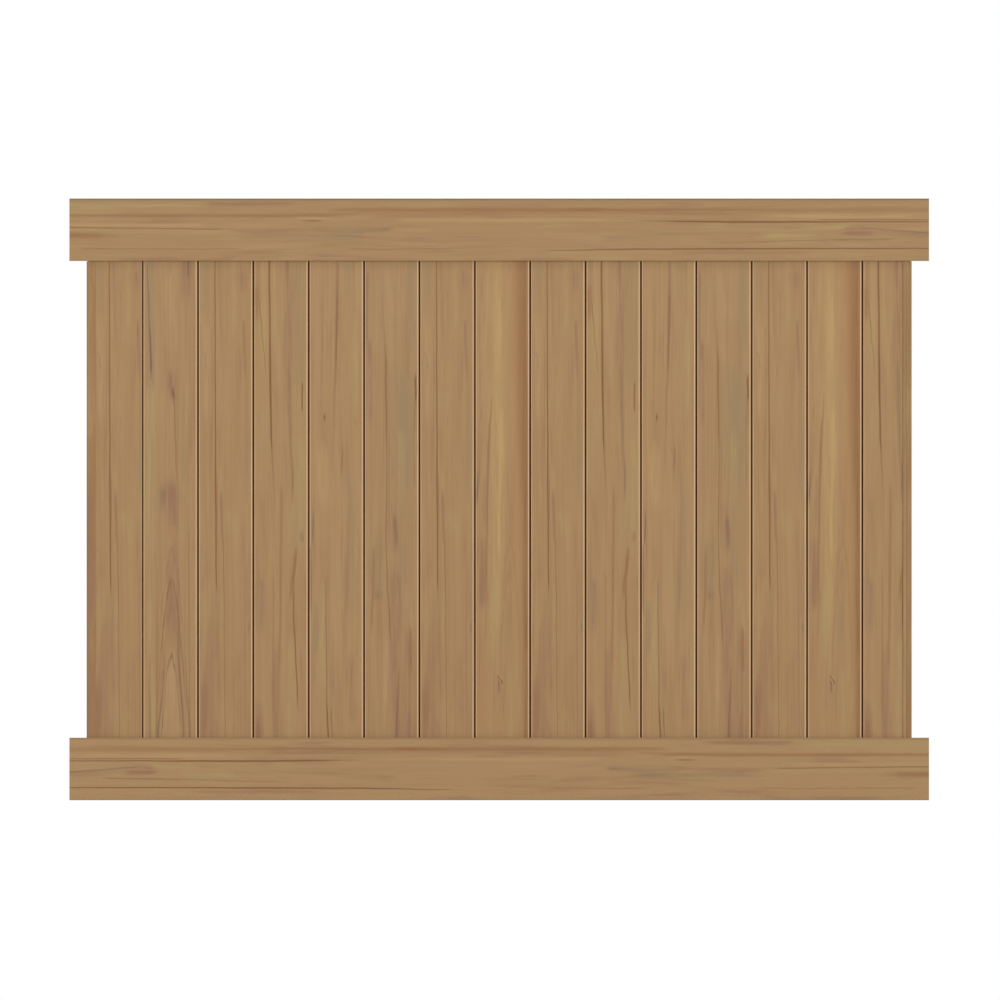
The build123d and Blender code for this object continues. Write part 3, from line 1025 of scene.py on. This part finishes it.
def makeChannel(name, node, side):
    low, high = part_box(node)
    half, wall, leg, tip = high.y / mm, channel["wall"], channel["leg"], channel["tip"]
    slot = half - wall
    upper = [(0.0, half, channel["corner"]), (leg, half, tip), (leg, slot, tip), (wall, slot, 0.0)]
    outer, inward = (low.x, 1) if side == "left" else (high.x, -1)
    facing = Matrix.Translation((outer, 0.0, low.z)) @ Matrix.Diagonal((inward, 1, 1, 1))
    bm = extrusion([bothSides(upper)], high.z - low.z, facing)

    def unroll(co, normal):
        across = -(co.y + high.y) if abs(normal.x) > 0.75 else abs(co.x - outer)
        return across, faceTop - co.z

    def slotOf(face):
        at = face.calc_center_median()
        outside = abs(at.y) > slot * mm + 0.0001 or abs(at.x - outer) < 0.5 * mm
        return 0 if outside and abs(face.normal.z) < 0.5 else 1

    layPrint(bm, unroll, slotOf)
    piece = finishPiece(name, bm, [film[side], boardCore], node)
    start, count = low.z + channel["holeEnd"] * mm, channel["holes"]
    reach = (high.z - low.z) - 2 * channel["holeEnd"] * mm
    spots = [(outer, 0.0, start + reach * n / (count - 1)) for n in range(count)]
    sideways = Matrix.Rotation(radians(90), 4, "Y")
    drill(piece, spots, channel["hole"] * mm, channel["drill"] * mm, sideways)
    evenNormals(piece)


print("closing the ends with channels")
makeChannel("leftEndChannel", "left_end_channel", "left")
makeChannel("rightEndChannel", "right_end_channel", "right")

studio = {
    "ambient": 0.5,
    "suns": {  # strength, softness and turn in degrees: from the front right, above, and behind
        "frontSun": (1.96, 40.0, (85, 0, 44)),
        "topSun": (0.55, 12.0, (25, 0, 12)),
        "backSun": (0.7, 40.0, (75, 0, 215)),
    },
    "paper": (246, 246, 244),
    "paperCloud": (250, 250, 249),
    "floorHalf": 12.0,
    "floorDrop": 0.0004,
    "cameraScale": 2.7524,
    "cameraPlace": (0.0022, -6.0, 0.8262),
    "cameraTurn": (90, 0, 0),
    "cameraReach": 100.0,
}


def makeFloor():
    bm = bmesh.new()
    bmesh.ops.create_grid(bm, x_segments=1, y_segments=1, size=studio["floorHalf"])
    bmesh.ops.translate(bm, verts=bm.verts[:], vec=(0.0, 0.0, -studio["floorDrop"]))
    mesh = bpy.data.meshes.new("floor")
    bm.to_mesh(mesh)
    bm.free()
    floor = bpy.data.objects.new("floor", mesh)
    scene.collection.objects.link(floor)
    material, wire, shader = startMaterial("floorPaper", Roughness=0.9, Specular_IOR_Level=0.1)
    place = wire.node("TexCoord", None, None, "Object")
    cloud = wire.node("TexNoise", None, {"Vector": place, "Scale": 3.0})
    paper = wire.blend(tone(*studio["paper"]), tone(*studio["paperCloud"]), cloud)
    plug(shader, "Base Color", paper)
    mesh.materials.append(material)


def makeAir():
    # white where the camera or a reflection looks, and plain ambient light elsewhere
    world = bpy.data.worlds.new("studio")
    scene.world = world
    world.use_nodes = True
    air = Wire(world.node_tree)
    path = air.node("LightPath", None, None, "Is Camera Ray")
    rays = path + path.part("Is Glossy Ray") + path.part("Is Transmission Ray")
    seen = path.maths("MINIMUM", rays, 1.0)
    background = world.node_tree.nodes["Background"]
    background.inputs["Color"].default_value = (1.0, 1.0, 1.0, 1.0)
    plug(background, "Strength", seen * (1.0 - studio["ambient"]) + studio["ambient"])


def makeSun(name, energy, softness, turn):
    lamp = bpy.data.lights.new(name, "SUN")
    lamp.energy = energy
    lamp.angle = radians(softness)
    sun = bpy.data.objects.new(name, lamp)
    sun.rotation_euler = [radians(degrees) for degrees in turn]
    scene.collection.objects.link(sun)


def makeCamera():
    lens = bpy.data.cameras.new("camera")
    lens.type = "ORTHO"
    lens.ortho_scale = studio["cameraScale"]
    lens.clip_end = studio["cameraReach"]
    camera = bpy.data.objects.new("camera", lens)
    camera.location = studio["cameraPlace"]
    camera.rotation_euler = [radians(degrees) for degrees in studio["cameraTurn"]]
    scene.collection.objects.link(camera)
    return camera


print("setting up floor, light and camera")
makeFloor()
makeAir()
for name, sun in studio["suns"].items():
    makeSun(name, *sun)
bpy.context.scene.camera = makeCamera()
scene.view_settings.view_transform = "Standard"

print("done")
